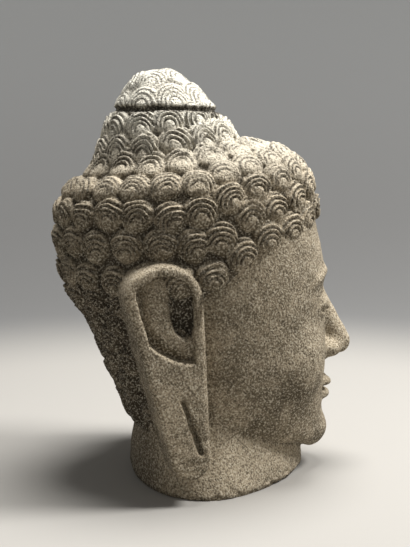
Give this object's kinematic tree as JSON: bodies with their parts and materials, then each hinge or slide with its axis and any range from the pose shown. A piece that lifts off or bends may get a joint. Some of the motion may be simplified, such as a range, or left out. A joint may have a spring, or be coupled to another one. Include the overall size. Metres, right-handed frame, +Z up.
{
  "type": "stone buddha head",
  "caption": "Carved stone Buddha head with snail-curl hair, a topknot and long ear lobes, cut off flat under the neck so that it stands by itself.",
  "frame": {"origin": "middle of the bounding box at the flat cut under the neck, where the head rests", "axes": "+Z up, -Y the way the face looks, +X across the head to the side of its left ear"},
  "size_m": [0.2146, 0.271, 0.3577],
  "materials": {
    "stone": "rough, porous grey-beige volcanic stone, weathered pale on top"
  },
  "bodies": {
    "root": {"stone_head": "stone"}
  },
  "joints": []
}
